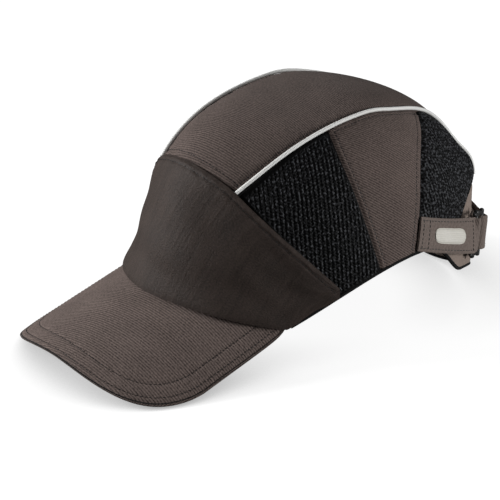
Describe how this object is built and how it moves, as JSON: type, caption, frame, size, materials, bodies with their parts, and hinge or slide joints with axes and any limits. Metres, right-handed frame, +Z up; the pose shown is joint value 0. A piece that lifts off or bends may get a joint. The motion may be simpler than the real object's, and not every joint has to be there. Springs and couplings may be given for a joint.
{
  "type": "bump cap",
  "caption": "Textile baseball-style bump cap with a peak, mesh side panels, reflective piping, a buckled nape strap and a removable hard shell insert.",
  "frame": {"origin": "centre of the head opening, on the plane that the cap rests on", "axes": "+X towards the wearer's left, -Y forwards towards the peak, +Z up through the crown"},
  "size_m": [0.1674, 0.2943, 0.1333],
  "materials": {
    "shell_plastic": "moulded ABS with a fine matt grain",
    "foam": "closed-cell foam, matt",
    "sweatband": "soft knitted band, matt",
    "front_cloth": "smooth closely woven cotton, dark taupe, slight sheen",
    "twill": "cotton twill with a fine diagonal rib, taupe",
    "mesh": "black knitted spacer mesh",
    "stretch_cloth": "plain stretch cloth, taupe",
    "piping": "silver-grey reflective piping, satin",
    "binding": "black binding tape",
    "board": "flexible polyethylene board",
    "webbing": "doubled taupe twill strap with stitched edges",
    "reflective": "off-white reflective transfer, satin",
    "hook_and_loop": "black hook-and-loop tape",
    "buckle_plastic": "black moulded plastic, slight gloss"
  },
  "bodies": {
    "insert": {"hard_shell": "shell_plastic", "crown_pad": "foam", "front_pad": "foam", "side_pad_left": "foam", "side_pad_right": "foam", "rear_pad": "foam", "sweatband": "sweatband"},
    "cover": {"front_panel": "front_cloth", "crown_panel": "twill", "mesh_front_left": "mesh", "mesh_front_right": "mesh", "side_panel_left": "twill", "side_panel_right": "twill", "mesh_rear_left": "mesh", "mesh_rear_right": "mesh", "nape_panel": "stretch_cloth", "piping_left": "piping", "piping_right": "piping", "rim_binding": "binding", "peak_board": "board", "peak_cover_top": "twill", "peak_cover_under": "twill", "strap_base": "webbing", "strap_tab": "reflective", "closure_strap": "webbing", "loop_patch": "hook_and_loop"},
    "buckle": {"buckle": "buckle_plastic"},
    "tail": {"strap_tail": "webbing", "hook_patch": "hook_and_loop"}
  },
  "joints": [
    {"name": "cover_lift", "type": "slide", "parent": "insert", "child": "cover", "axis": [0, 0, 1], "range_m": [0, 0.15]},
    {"name": "buckle_pivot", "type": "hinge", "parent": "cover", "child": "buckle", "pos_m": [0.07167, 0.07462, 0.04654], "axis": [0.1497, -0.2374, -0.9598], "range_deg": [0, 25]},
    {"name": "tail_peel", "type": "hinge", "parent": "buckle", "child": "tail", "pos_m": [0.06502, 0.08518, 0.04289], "axis": [0.1497, -0.2374, -0.9598], "range_deg": [0, 110]}
  ]
}
